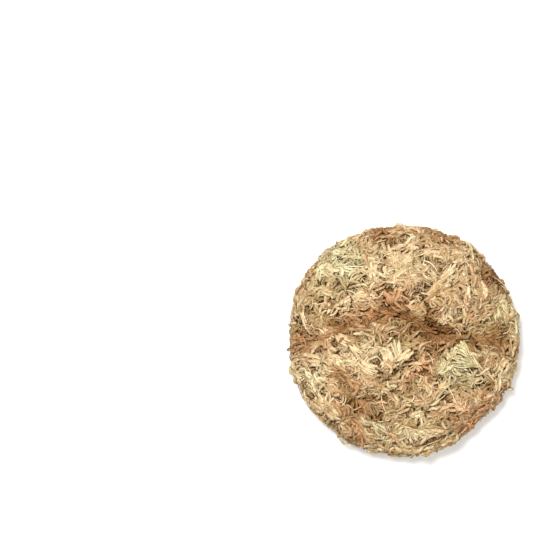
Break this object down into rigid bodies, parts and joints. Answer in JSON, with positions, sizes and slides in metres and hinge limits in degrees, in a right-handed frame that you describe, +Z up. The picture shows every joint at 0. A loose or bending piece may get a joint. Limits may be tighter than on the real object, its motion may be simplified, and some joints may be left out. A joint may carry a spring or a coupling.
{
  "type": "sphagnum moss clump",
  "caption": "Low round cushion of dried long-fibred sphagnum moss, straw-coloured with rust and pale green tufts, lying on its matted underside.",
  "frame": {"origin": "centre of the flat spot on the underside, on the surface that the clump rests on", "axes": "+Z up through the clump's thickness, +Y towards the far ridge, +X to the right of it"},
  "size_m": [0.1664, 0.1643, 0.0504],
  "materials": {
    "straw_moss": "matte dried moss, straw to cream",
    "green_moss": "matte dried moss, pale greyish green",
    "rust_moss": "matte dried moss, rust brown"
  },
  "bodies": {
    "root": {"straw_tuft_01": "straw_moss", "straw_tuft_02": "straw_moss", "straw_tuft_03": "straw_moss", "straw_tuft_04": "straw_moss", "straw_tuft_05": "straw_moss", "straw_tuft_06": "straw_moss", "straw_tuft_07": "straw_moss", "straw_tuft_08": "straw_moss", "straw_tuft_09": "straw_moss", "straw_tuft_10": "straw_moss", "straw_tuft_11": "straw_moss", "straw_tuft_12": "straw_moss", "straw_tuft_13": "straw_moss", "straw_tuft_14": "straw_moss", "straw_tuft_15": "straw_moss", "straw_tuft_16": "straw_moss", "straw_tuft_17": "straw_moss", "straw_tuft_18": "straw_moss", "straw_tuft_19": "straw_moss", "straw_tuft_20": "straw_moss", "straw_tuft_21": "straw_moss", "straw_tuft_22": "straw_moss", "straw_tuft_23": "straw_moss", "straw_tuft_24": "straw_moss", "straw_tuft_25": "straw_moss", "straw_tuft_26": "straw_moss", "straw_tuft_27": "straw_moss", "straw_tuft_28": "straw_moss", "green_tuft_01": "green_moss", "green_tuft_02": "green_moss", "green_tuft_03": "green_moss", "rust_tuft_01": "rust_moss", "rust_tuft_02": "rust_moss", "rust_tuft_03": "rust_moss", "rust_tuft_04": "rust_moss", "rust_tuft_05": "rust_moss", "rust_tuft_06": "rust_moss", "rust_tuft_07": "rust_moss", "rust_tuft_08": "rust_moss", "rust_tuft_09": "rust_moss"}
  },
  "joints": []
}
